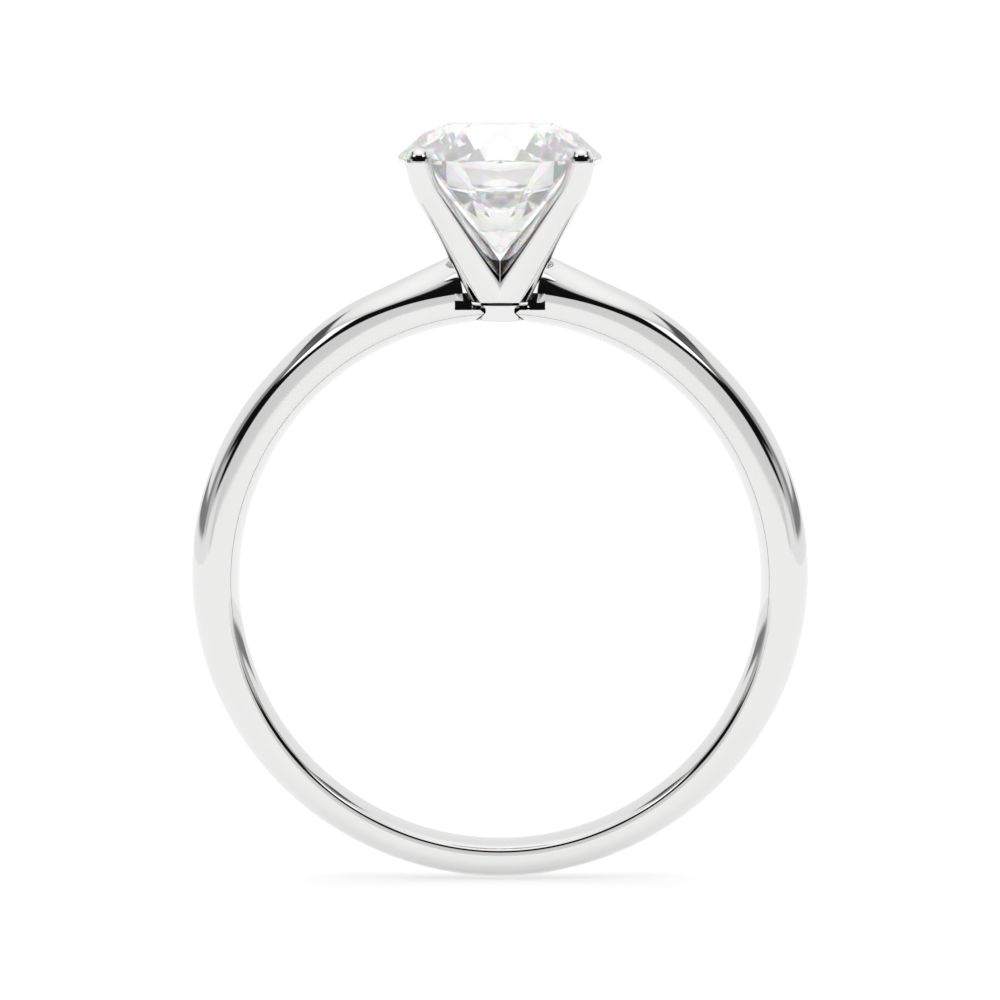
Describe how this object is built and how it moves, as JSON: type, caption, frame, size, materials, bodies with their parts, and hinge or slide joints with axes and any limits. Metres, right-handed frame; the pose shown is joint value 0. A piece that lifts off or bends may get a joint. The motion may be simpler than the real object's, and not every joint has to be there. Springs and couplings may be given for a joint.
{
  "type": "engagement ring",
  "caption": "Solitaire engagement ring: slim comfort-fit band with knife-edge shoulders, and bent claw wires on a small collar that hold a round brilliant stone.",
  "frame": {"origin": "centre of the finger hole, on the finger's axis and midway across the band", "axes": "+Z from the finger hole to the stone, +Y along the finger, +X across the finger in the plane of the hoop"},
  "size_m": [0.0196, 0.0064, 0.024],
  "materials": {
    "band_metal": "mirror-polished white precious metal, platinum or rhodium-plated white gold",
    "head_metal": "mirror-polished white precious metal, platinum or rhodium-plated white gold",
    "stone": "polished colourless diamond, facet edges crisp, girdle faintly frosted"
  },
  "bodies": {
    "root": {"shank": "band_metal", "head_collar": "head_metal", "prong_front_left": "head_metal", "prong_front_right": "head_metal", "prong_back_left": "head_metal", "prong_back_right": "head_metal", "diamond": "stone"}
  },
  "joints": []
}
